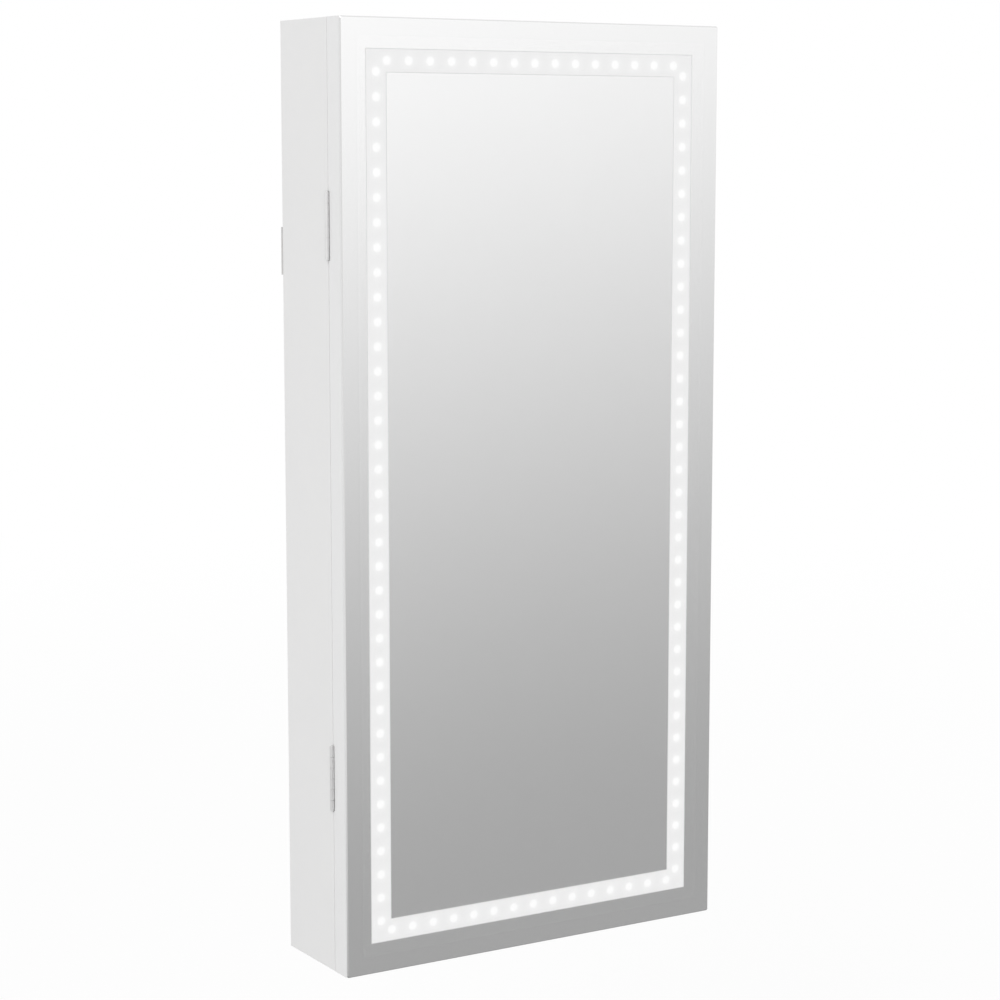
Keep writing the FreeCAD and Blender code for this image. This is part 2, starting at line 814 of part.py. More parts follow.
def led_tapes():
    """Four tapes on the channel's floor, the upright ones full length."""
    body = new_body("led_tapes")
    for side in (-1, 1):
        across = span(side, "light_half - tape_width / 2", "light_half + tape_width / 2")
        outline = rectangle(*across, "light_inset - tape_width / 2", "light_top + tape_width / 2")
        pad(body, "XZ", "tape_front", "channel_floor", outline)
    half = "light_half - tape_width / 2 - tape_gap"
    for level in ("light_inset", "light_top"):
        outline = rectangle(
            f"-({half})", half, f"{level} - tape_width / 2", f"{level} + tape_width / 2"
        )
        pad(body, "XZ", "tape_front", "channel_floor", outline)
    keep(body)


def led_chips():
    """A light chip at every pitch of the four tapes."""
    form = doc.addObject("Part::Box", "led_form")
    form.setExpression("Length", bound("led_side"))
    form.setExpression("Width", bound("led_height"))
    form.setExpression("Height", bound("led_side"))
    columns = [
        (f"{side} * light_half", f"cabinet_height / 2 + ({step} - (leds_up - 1) / 2) * led_pitch")
        for side in (-1, 1)
        for step in count_of("leds_up")
    ]
    rows = [
        (f"({step} - (leds_across - 1) / 2) * led_pitch", level)
        for level in ("light_inset", "light_top")
        for step in count_of("leds_across")
    ]
    spots = [
        (f"{x} - led_side / 2", "tape_front - led_height", f"{z} - led_side / 2", UPRIGHT)
        for x, z in columns + rows
    ]
    group("led_chips", form, spots)


def led_lead():
    """The lights' lead, straight through the core into the battery case."""
    form = doc.addObject("Part::Cylinder", "lead_form")
    form.setExpression("Radius", bound("lead_radius"))
    form.setExpression("Height", bound("lined_door + case_wall + case_slack - channel_floor"))
    group("led_lead", form, [("lead_x", "channel_floor", "light_top", TOWARDS_WALL)])


def strip_screw_places():
    return [(f"{side} * strip_screw_x", level) for level in STRIP_LEVELS for side in (-1, 1)]


def door_lining():
    body = board(
        "door_lining",
        ("door_lining_margin - lined_half", "lined_half - door_lining_margin"),
        ("door_back", "lined_door"),
        ("lined_floor + door_lining_margin", "lined_ceiling - door_lining_margin"),
    )
    holes = [(across, level, "screw_radius + screw_slack") for across, level in strip_screw_places()]
    lead = ("lead_x", "light_top", "lead_radius + lead_slack")
    cut(body, "XZ", "door_back", "lined_door", *holes, lead)
    keep(body)


def catches():
    """Magnets in the free side of the carcass, and steel strikes screwed to the door."""
    magnet = doc.addObject("Part::Cylinder", "magnet_form")
    magnet.setExpression("Radius", bound("magnet_radius"))
    magnet.setExpression("Height", bound("magnet_length"))
    spots = [("hanger_place", "carcass_front", level, TOWARDS_WALL) for level in MAGNET_LEVELS]
    group("catch_magnets", magnet, spots)
    strikes = new_body("strike_plates")
    discs = [("hanger_place", level, "strike_radius") for level in MAGNET_LEVELS]
    pad(strikes, "XZ", "door_back - strike_thickness", "door_back", *discs)
    holes = [("hanger_place", level, "leaf_screw_radius + screw_slack") for level in MAGNET_LEVELS]
    cut(strikes, "XZ", "door_back - strike_thickness", "door_back", *holes)
    head_seat = "door_back - leaf_screw_head - screw_slack"
    heads = [("hanger_place", level, "leaf_screw_head_radius + screw_slack") for level in MAGNET_LEVELS]
    cut(strikes, "XZ", head_seat, "door_back", *heads)
    keep(strikes)
    form = screw_form(
        "strike_screw_form",
        "leaf_screw_radius",
        "leaf_screw_head_radius",
        "leaf_screw_head",
        "leaf_screw_length - strike_thickness",
    )
    spots = [("hanger_place", head_seat, level, TOWARDS_WALL) for level in MAGNET_LEVELS]
    group("strike_screws", form, spots)


def door_bumpers():
    form = doc.addObject("Part::Cylinder", "bumper_form")
    form.setExpression("Radius", bound("bumper_radius"))
    form.setExpression("Height", bound("bumper_thickness"))
    spots = [
        ("hanger_place", "door_back", "bumper_inset", TOWARDS_WALL),
        ("hanger_place", "door_back", "cabinet_height - bumper_inset", TOWARDS_WALL),
        ("0", "door_back", "cap_thickness / 2", TOWARDS_WALL),
        ("0", "door_back", "cabinet_height - cap_thickness / 2", TOWARDS_WALL),
    ]
    group("door_bumpers", form, spots)


# ---------------------------------------------------------------- earring strips
def earring_strips():
    """Clear strips with two rows of holes, on spacers screwed to the door."""
    for number, level in enumerate(STRIP_LEVELS, start=1):
        body = board(
            f"earring_strip_{number}",
            ("-strip_half", "strip_half"),
            ("strip_back", "strip_back + strip_thickness"),
            (f"{level} - strip_height / 2", f"{level} + strip_height / 2"),
        )
        holes = [
            (
                f"({step} - (strip_holes - 1) / 2) * strip_hole_pitch",
                f"{level} + {rise} * strip_hole_rise",
                "strip_hole_radius",
            )
            for step in count_of("strip_holes")
            for rise in (-1, 1)
        ]
        cut(body, "XZ", "strip_back", "strip_back + strip_thickness", *holes)
        fixing = [(f"{side} * strip_screw_x", level, "screw_radius + screw_slack") for side in (-1, 1)]
        cut(body, "XZ", "strip_back", "strip_back + strip_thickness", *fixing)
        keep(body)
    outline = rectangle("screw_radius + screw_slack", "spacer_radius", "0", "spacer_length")
    spots = [(x, "lined_door", z, TOWARDS_WALL) for x, z in strip_screw_places()]
    group("earring_spacers", turned("spacer_form", outline), spots)
    form = screw_form(
        "earring_screw_form",
        "screw_radius",
        "screw_head_radius",
        "screw_head",
        "strip_thickness + spacer_length + screw_length - screw_slack - lining_thickness",
    )
    spots = [(x, "strip_back + strip_thickness", z, TOWARDS_WALL) for x, z in strip_screw_places()]
    group("earring_screws", form, spots)


# ---------------------------------------------------------------- battery case and switch
def battery_case():
    """A box for four cells, with a bay for the lead beside them and grooves for its cover."""
    body = board(
        "battery_case",
        ("case_left", "case_right"),
        ("lined_door", "case_front"),
        ("bay_low - case_wall", "bay_top + case_wall"),
    )
    floor = "lined_door + case_wall"
    cut(body, "XZ", floor, "case_front", rectangle("-bay_half", "bay_half", "bay_low", "bay_top"))
    lead_bay = rectangle("lead_bay_left", "lead_bay_right", "bay_low", "bay_top")
    cut(body, "XZ", floor, "case_front", lead_bay)
    mouth = rectangle("-bay_half", "case_right", "bay_low", "bay_top")
    cut(body, "XZ", "cover_back - cover_slack", "case_front", mouth)
    grooves = rectangle("-bay_half", "case_right", "bay_low - cover_groove", "bay_top + cover_groove")
    cut(body, "XZ", "cover_back - cover_slack", "cover_back + cover_thickness + cover_slack", grooves)
    cut(body, "XZ", "lined_door", floor, ("lead_x", "light_top", "lead_radius + lead_slack"))
    keep(body)


def battery_cover():
    """The cover that slides out of the case to the right, with ribs for the thumb."""
    reach = "cover_groove - cover_slack"
    body = board(
        "battery_cover",
        ("cover_slack - bay_half", "case_right"),
        ("cover_back", "cover_back + cover_thickness"),
        (f"bay_low - ({reach})", f"bay_top + {reach}"),
    )
    ribs = [
        rectangle(
            f"lead_bay_right - {step} * cover_rib_pitch - cover_rib_width",
            f"lead_bay_right - {step} * cover_rib_pitch",
            "bay_middle - cover_rib_span / 2",
            "bay_middle + cover_rib_span / 2",
        )
        for step in count_of("cover_rib_count")
    ]
    face = "cover_back + cover_thickness"
    pad(body, "XZ", face, f"{face} + cover_rib_height", *ribs)
    keep(body)


def cells_and_contacts():
    body_length = "cell_length - cell_nub"
    outline = [
        ("0", "0"),
        ("cell_radius", "0"),
        ("cell_radius", body_length),
        ("cell_nub_radius", body_length),
        ("cell_nub_radius", "cell_length"),
        ("0", "cell_length"),
    ]
    spots = []
    for step in count_of("cell_count"):
        level = f"bay_middle + ({step} - (cell_count - 1) / 2) * cell_pitch"
        start = "-cell_length / 2" if step % 2 else "cell_length / 2"
        spots.append((start, "cell_y", level, TOWARDS_RIGHT if step % 2 else TOWARDS_LEFT))
    group("battery_cells", turned("cell_form", outline), spots)
    body = new_body("battery_contacts")
    for side in (-1, 1):
        across = span(side, "bay_half - contact_thickness", "bay_half")
        depth = ("cell_y - contact_width / 2", "cell_y + contact_width / 2")
        pad(body, "XY", "bay_low + case_slack", "bay_top - case_slack", rectangle(*across, *depth))
    keep(body)


def light_switch():
    """The switch body beside the case, and its slider in a slot."""
    low, high = "bay_middle - switch_height / 2", "bay_middle + switch_height / 2"
    body = board("switch_body", ("switch_left", "switch_right"), ("lined_door", "switch_front"), (low, high))
    slot = rectangle(
        "slider_left - slider_slack",
        "slider_right + slider_travel + slider_slack",
        "bay_middle - slider_height / 2 - slider_slack",
        "bay_middle + slider_height / 2 + slider_slack",
    )
    cut(body, "XZ", "switch_front - slider_sunk - slider_slack", "switch_front", slot)
    keep(body)
    slider = board(
        "switch_slider",
        ("slider_left", "slider_right"),
        ("switch_front - slider_sunk", "switch_front + slider_proud"),
        ("bay_middle - slider_height / 2", "bay_middle + slider_height / 2"),
    )
    keep(slider)


# ---------------------------------------------------------------- fittings inside the carcass
def necklace_rail():
    """A rail screwed on from behind, with turned pegs."""
    body = board(
        "necklace_rail",
        ("-rail_half", "rail_half"),
        ("rail_front", "lined_back"),
        ("rail_level - rail_height / 2", "rail_level + rail_height / 2"),
    )
    spots = [f"({step} - (pegs - 1) / 2) * peg_pitch" for step in count_of("pegs")]
    bores = [(across, "rail_level", "peg_radius + peg_slack") for across in spots]
    cut(body, "XZ", "rail_front", "rail_front + peg_in_rail", *bores)
    screw_end = "back_rear - rail_screw_length"
    cut(body, "XZ", f"{screw_end} - screw_slack", "lined_back", *rail_screw_holes())
    keep(body)
    head_start = "peg_reach"
    outline = [
        ("0", "peg_slack - peg_in_rail"),
        ("peg_radius", "peg_slack - peg_in_rail"),
        ("peg_radius", head_start),
        ("peg_head_radius", f"{head_start} + peg_head_length / 4"),
        ("peg_head_radius", f"{head_start} + peg_head_length * 3 / 4"),
        ("peg_head_radius * 3 / 4", f"{head_start} + peg_head_length"),
        ("0", f"{head_start} + peg_head_length"),
    ]
    pegs = [(across, "rail_front", "rail_level", TOWARDS_FRONT) for across in spots]
    group("necklace_pegs", turned("peg_form", outline), pegs)
    form = screw_form(
        "rail_screw_form", "screw_radius", "screw_head_radius", "screw_head", "rail_screw_length"
    )
    screws = [(f"{side} * rail_screw_x", "back_rear", "rail_level", TOWARDS_WALL) for side in (-1, 1)]
    group("rail_screws", form, screws)


def ring_rolls():
    """Soft rolls stacked on the ring shelf against the back, rings are pushed between them."""
    body = new_body("ring_rolls")
    depth = "lined_back - roll_slack - roll_radius"
    for step in count_of("roll_count"):
        level = (
            "ring_shelf_level + shelf_thickness + roll_slack + roll_radius"
            f" + {step} * (2 * roll_radius + roll_slack)"
        )
        pad(body, "YZ", "roll_slack - lined_half", "lined_half - roll_slack", (depth, level, "roll_radius"))
    reach = value("lined_half - roll_slack")
    dress(
        body,
        "Fillet",
        "Radius",
        "roll_end_radius",
        lambda box: near(box.XLength, 0) and near(abs(box.XMin), reach),
    )
    keep(body)


def bracelet_bar():
    body = new_body("bracelet_bar")
    end = "lined_half - socket_floor - bracelet_slack"
    pad(body, "YZ", f"-({end})", end, ("bracelet_y", "bracelet_level", "bracelet_radius"))
    keep(body)
    bore = "bracelet_radius + bracelet_slack"
    outline = [
        ("0", "0"),
        ("socket_radius", "0"),
        ("socket_radius", "socket_length"),
        (bore, "socket_length"),
        (bore, "socket_floor"),
        ("0", "socket_floor"),
    ]
    spots = [
        ("-lined_half", "bracelet_y", "bracelet_level", TOWARDS_RIGHT),
        ("lined_half", "bracelet_y", "bracelet_level", TOWARDS_LEFT),
    ]
    group("bracelet_sockets", turned("socket_form", outline), spots)


def shelves():
    """Shelves on pins, clear lips along their fronts, and dividers on the floor."""
    for label, (level, front) in SHELVES.items():
        keep(
            board(
                label,
                ("-shelf_half", "shelf_half"),
                (front, "lined_back - shelf_slack"),
                (level, f"{level} + shelf_thickness"),
            )
        )
    lips = new_body("shelf_lips")
    for level in ("upper_shelf_level", "lower_shelf_level", "lined_floor"):
        outline = rectangle("-shelf_half", "shelf_half", level, f"{level} + lip_height")
        pad(lips, "XZ", "shelf_front - lip_thickness", "shelf_front", outline)
    keep(lips)
    dividers = new_body("floor_dividers")
    for side in (-1, 1):
        across = span(
            side, "divider_place - divider_thickness / 2", "divider_place + divider_thickness / 2"
        )
        outline = rectangle(*across, "shelf_front", "lined_back - shelf_slack")
        pad(dividers, "XY", "lined_floor", "lower_shelf_level - shelf_slack", outline)
    keep(dividers)
    form = doc.addObject("Part::Cylinder", "shelf_pin_form")
    form.setExpression("Radius", bound("shelf_pin_radius"))
    form.setExpression("Height", bound("shelf_pin_in_side + shelf_pin_reach - shelf_pin_slack"))
    starts = ("shelf_pin_slack - inner_half - shelf_pin_in_side", "inner_half - shelf_pin_reach")
    spots = [(start, deep, up, TOWARDS_RIGHT) for start in starts for deep, up in pin_places()]
    group("shelf_pins", form, spots)


# ---------------------------------------------------------------- building, checking and writing
def build():
    side_panels()
    cap_panel("top_panel", "ceiling", "ceiling", -1)
    cap_panel("bottom_panel", "0", "cap_thickness", 1)
    back_panel()
    corner_dowels()
    linings()
    hanger_plates()
    hanger_screws()
    hinges()
    door_core()
    mirror_glass()
    mirror_coats()
    led_tapes()
    led_chips()
    led_lead()
    door_lining()
    catches()
    door_bumpers()
    earring_strips()
    battery_case()
    battery_cover()
    cells_and_contacts()
    light_switch()
    necklace_rail()
    ring_rolls()
    bracelet_bar()
    shelves()
    doc.recompute()


def check():
    """Stops on a failed object, on a pocket that cuts nothing and on a bad shape."""
    for item in doc.Objects:
        if "Invalid" in item.State or "Error" in item.State:
            raise RuntimeError(f"{item.Label} failed: {item.State}")
        if item.TypeId == "PartDesign::Pocket":
            if item.Shape.Volume > item.BaseFeature.Shape.Volume - 0.01:
                raise RuntimeError(f"{item.Label} cuts nothing")
    for part in sub_parts:
        if part.Shape.isNull() or not part.Shape.isValid():
            raise RuntimeError(f"{part.Label} has a bad shape")


def write():
    os.makedirs("parts", exist_ok=True)
    for part in sub_parts:
        part.Shape.exportStep(f"parts/{part.Label}.step")
        box = part.Shape.BoundBox
        print(
            f"{part.Label}: {len(part.Shape.Solids)} solids, {part.Shape.Volume:.0f} mm3,"
            f" x {box.XMin:.1f} {box.XMax:.1f}, y {box.YMin:.1f} {box.YMax:.1f},"
            f" z {box.ZMin:.1f} {box.ZMax:.1f}"
        )


build()
check()
write()
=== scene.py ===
import math
import bmesh
import bpy
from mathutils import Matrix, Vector, noise


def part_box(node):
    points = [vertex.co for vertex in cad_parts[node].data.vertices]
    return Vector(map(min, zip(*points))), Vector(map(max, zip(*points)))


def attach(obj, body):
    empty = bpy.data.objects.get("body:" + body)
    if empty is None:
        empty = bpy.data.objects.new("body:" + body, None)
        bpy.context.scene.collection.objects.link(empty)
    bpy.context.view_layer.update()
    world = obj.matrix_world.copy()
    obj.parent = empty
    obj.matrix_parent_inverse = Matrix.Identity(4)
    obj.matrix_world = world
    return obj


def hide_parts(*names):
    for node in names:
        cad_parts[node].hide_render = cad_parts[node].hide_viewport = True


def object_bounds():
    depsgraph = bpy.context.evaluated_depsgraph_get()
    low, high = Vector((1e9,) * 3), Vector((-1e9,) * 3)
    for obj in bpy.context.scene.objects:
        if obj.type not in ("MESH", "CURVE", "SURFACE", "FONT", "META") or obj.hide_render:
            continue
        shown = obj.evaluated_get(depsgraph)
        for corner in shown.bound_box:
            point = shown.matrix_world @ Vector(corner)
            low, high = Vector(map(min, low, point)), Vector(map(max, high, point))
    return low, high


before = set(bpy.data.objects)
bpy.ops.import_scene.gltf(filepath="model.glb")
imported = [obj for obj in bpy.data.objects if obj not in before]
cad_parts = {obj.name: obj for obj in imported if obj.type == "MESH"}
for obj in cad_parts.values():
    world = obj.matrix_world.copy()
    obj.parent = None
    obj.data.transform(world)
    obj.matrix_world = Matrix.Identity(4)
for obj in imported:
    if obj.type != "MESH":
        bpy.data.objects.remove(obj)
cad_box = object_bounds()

# A slim wall cabinet for jewelry behind a full mirror door with a lit frosted band. Lengths are in
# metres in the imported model's frame: X to the right, Y towards the wall and Z up.


# ---------------------------------------------------------------- carcass boards
# The sides, the top and the bottom are 15 mm fibreboard, sprayed white and rubbed down to a satin.
# They are doweled and glued at the corners, and the outer edges are eased with sandpaper.
class Wire:
    """The output of a node. Sums, products and comparisons of wires add Math nodes."""

    def __init__(self, graph, socket):
        self.graph = graph
        self.socket = socket

    def maths(self, operation, *terms):
        return self.graph.add("ShaderNodeMath", {"operation": operation}, dict(enumerate(terms)))

    def __add__(self, other):
        return self.maths("ADD", self, other)

    __radd__ = __add__

    def __sub__(self, other):
        return self.maths("SUBTRACT", self, other)

    def __rsub__(self, other):
        return self.maths("SUBTRACT", other, self)

    def __mul__(self, other):
        return self.maths("MULTIPLY", self, other)

    __rmul__ = __mul__

    def __truediv__(self, other):
        return self.maths("DIVIDE", self, other)

    def __pow__(self, other):
        return self.maths("POWER", self, other)

    def __mod__(self, other):
        return self.maths("FLOORED_MODULO", self, other)

    def __abs__(self):
        return self.maths("ABSOLUTE", self)

    def __lt__(self, other):
        return self.maths("LESS_THAN", self, other)

    def __gt__(self, other):
        return self.maths("GREATER_THAN", self, other)

    def least(self, other):
        return self.maths("MINIMUM", self, other)

    def most(self, other):
        return self.maths("MAXIMUM", self, other)


class Graph:
    """A node tree under construction."""

    def __init__(self, tree):
        self.tree = tree

    def add(self, kind, settings=None, values=None, output=0):
        """A node with its settings made first and then its sockets, by name or number."""
        node = self.tree.nodes.new(kind)
        for name, setting in (settings or {}).items():
            setattr(node, name, setting)
        self.feed(node, values or {})
        return Wire(self, node.outputs[output])

    def feed(self, node, values):
        for socket, value in values.items():
            for one in value if isinstance(value, list) else [value]:
                if isinstance(one, Wire):
                    self.tree.links.new(one.socket, node.inputs[socket])
                else:
                    node.inputs[socket].default_value = one

    def axes(self, vector):
        """The three parts of a vector."""
        split = self.add("ShaderNodeSeparateXYZ", values={0: vector}).socket.node
        return [Wire(self, socket) for socket in split.outputs]

    def fade(self, value, low, high):
        """Rises smoothly from 0 at the low value to 1 at the high one."""
        settings = {"interpolation_type": "SMOOTHSTEP"}
        values = {"Value": value, "From Min": low, "From Max": high}
        return self.add("ShaderNodeMapRange", settings, values)


class Finish(Graph):
    """A material with one Principled shader, for a material slot of the record."""

    def __init__(self, slot):
        self.slot = slot
        self.material = bpy.data.materials.new(slot + "_finish")
        self.material.use_nodes = True
        super().__init__(self.material.node_tree)
        self.place = self.add("ShaderNodeTexCoord", output="Object")
        self.across, self.deep, self.up = self.axes(self.place)
        self.facing = self.axes(self.add("ShaderNodeTexCoord", output="Normal"))

    def shade(self, values):
        self.feed(self.tree.nodes["Principled BSDF"], values)

    def mottle(self, scale, detail=2.0, stretch=(1, 1, 1)):
        """Cloudy noise with so many lumps to the metre, drawn out along an axis by its stretch."""
        ends = {0: self.place, 1: stretch}
        drawn = self.add("ShaderNodeVectorMath", {"operation": "DIVIDE"}, ends)
        values = {"Vector": drawn, "Scale": scale, "Detail": detail}
        return self.add("ShaderNodeTexNoise", values=values)

    def mix(self, factor, first, second):
        """From the first colour at 0 to the second at 1."""
        values = {0: factor, 6: first, 7: second}
        return self.add("ShaderNodeMix", {"data_type": "RGBA"}, values, output=2)

    def relief(self, height, depth):
        """The normal over a surface whose height, from 0 to 1, stands for so many metres."""
        return self.add("ShaderNodeBump", values={"Height": height, "Distance": depth})

    def cover(self, *names):
        """Puts the finish on CAD nodes."""
        for name in names:
            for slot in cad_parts[name].material_slots:
                slot.material = self.material


def grey(level, warmth=0.0):
    """A grey by its linear level, warmer or cooler by a share."""
    return (level * (1 + warmth), level, level * (1 - warmth), 1)


def sprayed_white():
    finish = Finish("white_board")
    cloud = finish.mottle(30)
    peel = finish.mottle(1400)
    finish.shade({
        "Base Color": finish.mix(cloud, grey(0.79, 0.002), grey(0.81, 0.002)),
        "Roughness": 0.34 + 0.08 * cloud,
        "Normal": finish.relief(peel, 0.00002),
    })
    return finish


white = sprayed_white()
white.cover("side_panel_left", "side_panel_right", "top_panel", "bottom_panel", "necklace_rail")


# ---------------------------------------------------------------- back panel
# A 3 mm hardboard sheet slid into grooves in the four boards. Its faces are white paper pressed on
# warm, so the fibres show through as a fine linen grain.
def papered_hardboard():
    finish = Finish("back_board")
    fibre = finish.mottle(900, 3, (6, 1, 1)) * finish.mottle(900, 3, (1, 1, 6))
    blotch = finish.mottle(25, 3)
    finish.shade({
        "Base Color": finish.mix(blotch, grey(0.70, 0.02), grey(0.76, 0.01)),
        "Roughness": 0.55 + 0.2 * fibre,
        "Normal": finish.relief(fibre, 0.00012),
    })
    return finish


papered_hardboard().cover("back_panel")


# ---------------------------------------------------------------- corner dowels
# Beech dowels, fluted for the glue and pressed into the boards. They are unfinished wood with the
# short brown flecks of beech along the grain.
def beech():
    finish = Finish("dowel_wood")
    grain = finish.mottle(900, 3, (12, 1, 1))
    fleck = finish.fade(finish.mottle(1600, 1, (6, 1, 1)), 0.62, 0.7)
    pale = finish.mix(grain, (0.62, 0.42, 0.25, 1), (0.72, 0.53, 0.34, 1))
    finish.shade({
        "Base Color": finish.mix(fleck, pale, (0.42, 0.24, 0.12, 1)),
        "Roughness": 0.6 + 0.15 * grain,
        "Normal": finish.relief(grain, 0.0001),
    })
    return finish


beech().cover("corner_dowels")


# ---------------------------------------------------------------- velvet boards
# Thin boards wrapped in charcoal velvet line the cabinet and the door, and the shelves and dividers
# are wrapped the same way. The pile is short, and lies this way and that in soft patches, whose
# lighter and darker tones are a painted sheen.
def charcoal_velvet(slot):
    finish = Finish(slot)
    # Soft patches where the pile lies this way and that: a little relief, and a painted sheen that
    # makes the colour lighter or darker by patch.
    nap_patches_painted_sheen = finish.fade(finish.mottle(16, 3, (1, 1, 2.5)), 0.36, 0.64)
    pile = finish.mottle(1700, 2)
    shade = finish.mix(nap_patches_painted_sheen, grey(0.018, 0.02), grey(0.046, 0.01))
    finish.shade({
        "Base Color": finish.mix(0.4 * pile, shade, grey(0.08, 0.01)),
        "Roughness": 0.8 + 0.15 * pile,
        "Normal": finish.relief(pile + 0.5 * nap_patches_painted_sheen, 0.00018),
        "Specular IOR Level": 0.15,
        "Sheen Weight": 0.55,
        "Sheen Roughness": 0.35,
        "Sheen Tint": (0.72, 0.73, 0.76, 1),
    })
    return finish


charcoal_velvet("velvet").cover(
    "back_lining", "side_lining_left", "side_lining_right", "top_lining", "bottom_lining",
    "door_lining", "ring_shelf", "upper_shelf", "lower_shelf", "floor_dividers",
)


# ---------------------------------------------------------------- wall hangers and their screws
# Two plates of 2 mm zinc plated steel, punched with a keyhole, on the rear edges of the sides.
# Round head screws with a cross recess hold them, and also hold the necklace rail from behind.
SCREW_SIDES, HEAD_STEPS, SHANK_STEPS = 24, 8, 25
THREAD_ROOT, THREAD_DEPTH = 0.78, 0.22
TIP_WIDTH, TIP_TAPER = 0.25, 6
RECESS_LENGTH, RECESS_WIDTH, RECESS_DEPTH = 1.15, 0.26, 1.3
SAME_CORNER = 1e-6


def zinc_plate():
    finish = Finish("zinc_steel")
    spangle = finish.add("ShaderNodeTexVoronoi", values={"Vector": finish.place, "Scale": 420})
    rolled = finish.mottle(700, 3, (1, 1, 14))
    cool = finish.mix(spangle, grey(0.68, -0.015), grey(0.77, -0.01))
    finish.shade({
        "Base Color": finish.mix(finish.mottle(60), cool, grey(0.73, 0.03)),
        "Metallic": 1.0,
        "Roughness": 0.27 + 0.12 * spangle + 0.08 * rolled,
        "Normal": finish.relief(rolled, 0.00003),
    })
    return finish


def solids_of(node):
    """The low and the high corner of each separate solid of a CAD node."""
    form = bmesh.new()
    form.from_mesh(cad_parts[node].data)
    bmesh.ops.remove_doubles(form, verts=form.verts, dist=SAME_CORNER)
    left = set(form.verts)
    found = []
    while left:
        reached = [left.pop()]
        corners = []
        while reached:
            corner = reached.pop()
            corners.append(corner.co.copy())
            beside = {edge.other_vert(corner) for edge in corner.link_edges} & left
            left -= beside
            reached.extend(beside)
        found.append((Vector(map(min, zip(*corners))), Vector(map(max, zip(*corners)))))
    form.free()
    return sorted(found, key=lambda ends: tuple(ends[0]))


class Pattern(Graph):
    """A Geometry Nodes tree with named sizes, run once on a mesh to give a plain mesh."""

    def __init__(self, name, sizes):
        super().__init__(bpy.data.node_groups.new(name, "GeometryNodeTree"))
        kinds = {"Geometry": "Geometry", "Material": "Material", **dict.fromkeys(sizes, "Float")}
        new_socket = self.tree.interface.new_socket
        for given, kind in kinds.items():
            new_socket(given, in_out="INPUT", socket_type="NodeSocket" + kind)
        new_socket("Geometry", in_out="OUTPUT", socket_type="NodeSocketGeometry")
        self.entry = self.tree.nodes.new("NodeGroupInput")
        self.sizes = sizes

    def given(self, name):
        return Wire(self, self.entry.outputs[name])

    def end(self, geometry):
        real = self.add("GeometryNodeRealizeInstances", values={"Geometry": geometry})
        values = {"Geometry": real, "Material": self.given("Material")}
        covered = self.add("GeometryNodeSetMaterial", values=values)
        self.feed(self.tree.nodes.new("NodeGroupOutput"), {"Geometry": covered})

    def make(self, name, mesh, finish, sizes):
        """The tree's result on the mesh, as the mesh of a new object."""
        piece = bpy.data.objects.new(name, mesh)
        bpy.context.scene.collection.objects.link(piece)
        modifier = piece.modifiers.new("pattern", "NODES")
        modifier.node_group = self.tree
        chosen = {**self.sizes, **sizes, "Material": finish.material}
        for socket in self.tree.interface.items_tree:
            if socket.in_out == "INPUT" and socket.name in chosen:
                modifier[socket.identifier] = chosen[socket.name]
        graph = bpy.context.evaluated_depsgraph_get()
        result = bpy.data.meshes.new_from_object(piece.evaluated_get(graph))
        piece.modifiers.remove(modifier)
        piece.data = result
        return piece


def spots(places):
    """A mesh of loose points."""
    mesh = bpy.data.meshes.new("spots")
    mesh.from_pydata([tuple(place) for place in places], [], [])
    return mesh


def screws():
    """Cross recessed screws on points, each turned by chance about its own axis."""
    pattern = Pattern("screws", {
        "Head Radius": 0.003,
        "Head Height": 0.0016,
        "Dome": 0.9,
        "Shank Radius": 0.00145,
        "Shank Length": 0.01,
        "Tilt": -math.pi / 2,
    })
    head_radius, head_height = pattern.given("Head Radius"), pattern.given("Head Height")
    ring = pattern.add("GeometryNodeCurvePrimitiveCircle", values={
        "Resolution": SCREW_SIDES, "Radius": 1.0,
    })

    def lathed(low, high, steps, radius):
        ends = [pattern.add("ShaderNodeCombineXYZ", values={2: level}) for level in (low, high)]
        line = pattern.add("GeometryNodeCurvePrimitiveLine", values=dict(enumerate(ends)))
        fine = pattern.add("GeometryNodeResampleCurve", values={"Curve": line, "Count": steps})
        values = {"Curve": fine, "Profile Curve": ring, "Scale": radius, "Fill Caps": True}
        return pattern.add("GeometryNodeCurveToMesh", values=values)

    along = pattern.add("GeometryNodeSplineParameter")
    step = pattern.add("GeometryNodeSplineParameter", output="Index")
    curve = (1 - (along * pattern.given("Dome")) ** 2.0) ** 0.5
    head = lathed(0.0, head_height, HEAD_STEPS, head_radius * curve)
    tip = (along * TIP_TAPER + TIP_WIDTH).least(1.0)
    thread = pattern.given("Shank Radius") * (THREAD_ROOT + THREAD_DEPTH * (step % 2)) * tip
    shank = lathed(0 - pattern.given("Shank Length"), 0.0, SHANK_STEPS, thread)
    slots = []
    for long_axis, short_axis in ((0, 1), (1, 0)):
        shape = pattern.add("ShaderNodeCombineXYZ", values={
            long_axis: head_radius * RECESS_LENGTH,
            short_axis: head_radius * RECESS_WIDTH,
            2: head_height * RECESS_DEPTH,
        })
        bar = pattern.add("GeometryNodeMeshCube", values={"Size": shape})
        level = pattern.add("ShaderNodeCombineXYZ", values={2: head_height})
        values = {"Geometry": bar, "Translation": level}
        slots.append(pattern.add("GeometryNodeTransform", values=values))
    cut = pattern.add("GeometryNodeMeshBoolean", {"operation": "DIFFERENCE"}, {0: head, 1: slots})
    form = pattern.add("GeometryNodeJoinGeometry", values={0: [cut, shank]})
    chance = {2: 0.0, 3: math.tau, "Seed": 7}
    spin = pattern.add("FunctionNodeRandomValue", values=chance, output=1)
    turn = pattern.add("ShaderNodeCombineXYZ", values={0: pattern.given("Tilt"), 1: spin})
    values = {"Points": pattern.given("Geometry"), "Instance": form, "Rotation": turn}
    pattern.end(pattern.add("GeometryNodeInstanceOnPoints", values=values))
    return pattern


